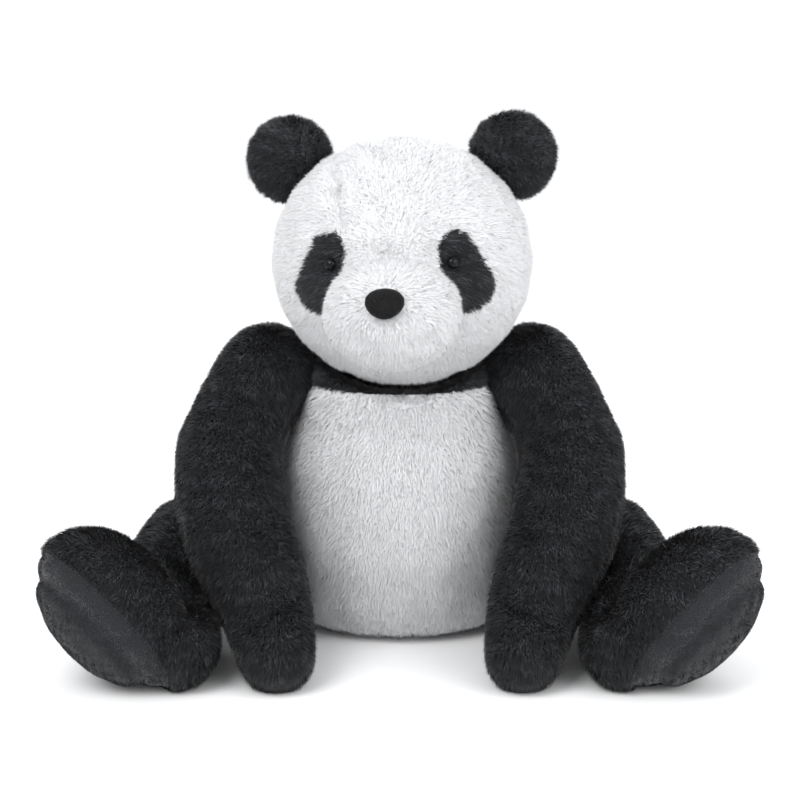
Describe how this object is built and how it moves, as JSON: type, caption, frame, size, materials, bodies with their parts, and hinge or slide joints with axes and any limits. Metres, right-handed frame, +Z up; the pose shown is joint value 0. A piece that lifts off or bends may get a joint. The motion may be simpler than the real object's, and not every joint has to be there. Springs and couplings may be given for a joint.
{
  "type": "seated plush panda",
  "caption": "Large seated plush panda of sewn panels over fibre filling, with head, ears, arms, legs and tail that move.",
  "frame": {"origin": "middle of the flat seat, on the floor", "axes": "+Z up, the toy faces -Y, +X is the toy's own left"},
  "size_m": [0.7888, 0.4965, 0.6049],
  "materials": {
    "black_plush": "deep soft pile, combed",
    "white_plush": "deep soft pile, combed",
    "black_sole": "short smooth pile",
    "fibre_filling": "loose polyester fibre",
    "flocked_nose": "flocked, matt",
    "eye_plastic": "polished",
    "washer_plastic": "plain moulded",
    "thread": "waxed sewing thread"
  },
  "bodies": {
    "body": {"seat_panel": "white_plush", "yoke_front": "black_plush", "yoke_back": "black_plush", "belly_panel": "white_plush", "back_panel_left": "white_plush", "back_panel_right": "white_plush", "body_filling": "fibre_filling"},
    "neck": {"neck_band": "black_plush", "neck_filling": "fibre_filling"},
    "head": {"head_back": "white_plush", "head_side_left": "white_plush", "head_side_right": "white_plush", "head_gusset": "white_plush", "chin": "white_plush", "head_filling": "fibre_filling", "muzzle": "white_plush", "muzzle_filling": "fibre_filling", "nose": "flocked_nose", "nose_washer": "washer_plastic", "eye_patch_left": "black_plush", "eye_left": "eye_plastic", "eye_washer_left": "washer_plastic", "eye_patch_right": "black_plush", "eye_right": "eye_plastic", "eye_washer_right": "washer_plastic"},
    "ear_left": {"ear_front_left": "black_plush", "ear_back_left": "black_plush", "ear_filling_left": "fibre_filling"},
    "ear_right": {"ear_front_right": "black_plush", "ear_back_right": "black_plush", "ear_filling_right": "fibre_filling"},
    "arm_left": {"arm_front_left": "black_plush", "arm_back_left": "black_plush", "arm_filling_left": "fibre_filling"},
    "arm_right": {"arm_front_right": "black_plush", "arm_back_right": "black_plush", "arm_filling_right": "fibre_filling"},
    "leg_left": {"leg_upper_left": "black_plush", "leg_under_left": "black_plush", "sole_left": "black_sole", "leg_filling_left": "fibre_filling", "toe_stitch_upper_left": "thread", "toe_stitch_lower_left": "thread"},
    "leg_right": {"leg_upper_right": "black_plush", "leg_under_right": "black_plush", "sole_right": "black_sole", "leg_filling_right": "fibre_filling", "toe_stitch_upper_right": "thread", "toe_stitch_lower_right": "thread"},
    "tail": {"tail": "white_plush", "tail_filling": "fibre_filling"}
  },
  "joints": [
    {"name": "neck_turn", "type": "hinge", "parent": "body", "child": "neck", "pos_m": [0.008, -0.023, 0.3135], "axis": [0, 0, 1], "range_deg": [-25, 25], "stiffness_Nm_per_rad": 3},
    {"name": "head_nod", "type": "hinge", "parent": "neck", "child": "head", "pos_m": [0.008, -0.023, 0.3135], "axis": [1, 0, 0], "range_deg": [-6, 8], "stiffness_Nm_per_rad": 15},
    {"name": "ear_left_bend", "type": "hinge", "parent": "head", "child": "ear_left", "pos_m": [0.1051, -0.0263, 0.5316], "axis": [-0.689, 0.0663, 0.7218], "range_deg": [-14, 14], "stiffness_Nm_per_rad": 0.3},
    {"name": "ear_right_bend", "type": "hinge", "parent": "head", "child": "ear_right", "pos_m": [-0.1014, -0.0064, 0.5251], "axis": [-0.6425, 0.0619, -0.7638], "range_deg": [-14, 14], "stiffness_Nm_per_rad": 0.3},
    {"name": "arm_left_raise", "type": "hinge", "parent": "body", "child": "arm_left", "pos_m": [0.154, -0.013, 0.298], "axis": [-1, 0, 0], "range_deg": [0, 60]},
    {"name": "arm_right_raise", "type": "hinge", "parent": "body", "child": "arm_right", "pos_m": [-0.154, -0.013, 0.298], "axis": [-1, 0, 0], "range_deg": [0, 60]},
    {"name": "leg_left_swing", "type": "hinge", "parent": "body", "child": "leg_left", "pos_m": [0.135, 0.012, 0.0785], "axis": [0, 0, 1], "range_deg": [0, 25]},
    {"name": "leg_right_swing", "type": "hinge", "parent": "body", "child": "leg_right", "pos_m": [-0.135, 0.012, 0.0785], "axis": [0, 0, -1], "range_deg": [0, 25]},
    {"name": "tail_bend", "type": "hinge", "parent": "body", "child": "tail", "pos_m": [0, 0.141, 0.07], "axis": [1, 0, 0], "range_deg": [-10, 10], "stiffness_Nm_per_rad": 0.2}
  ]
}
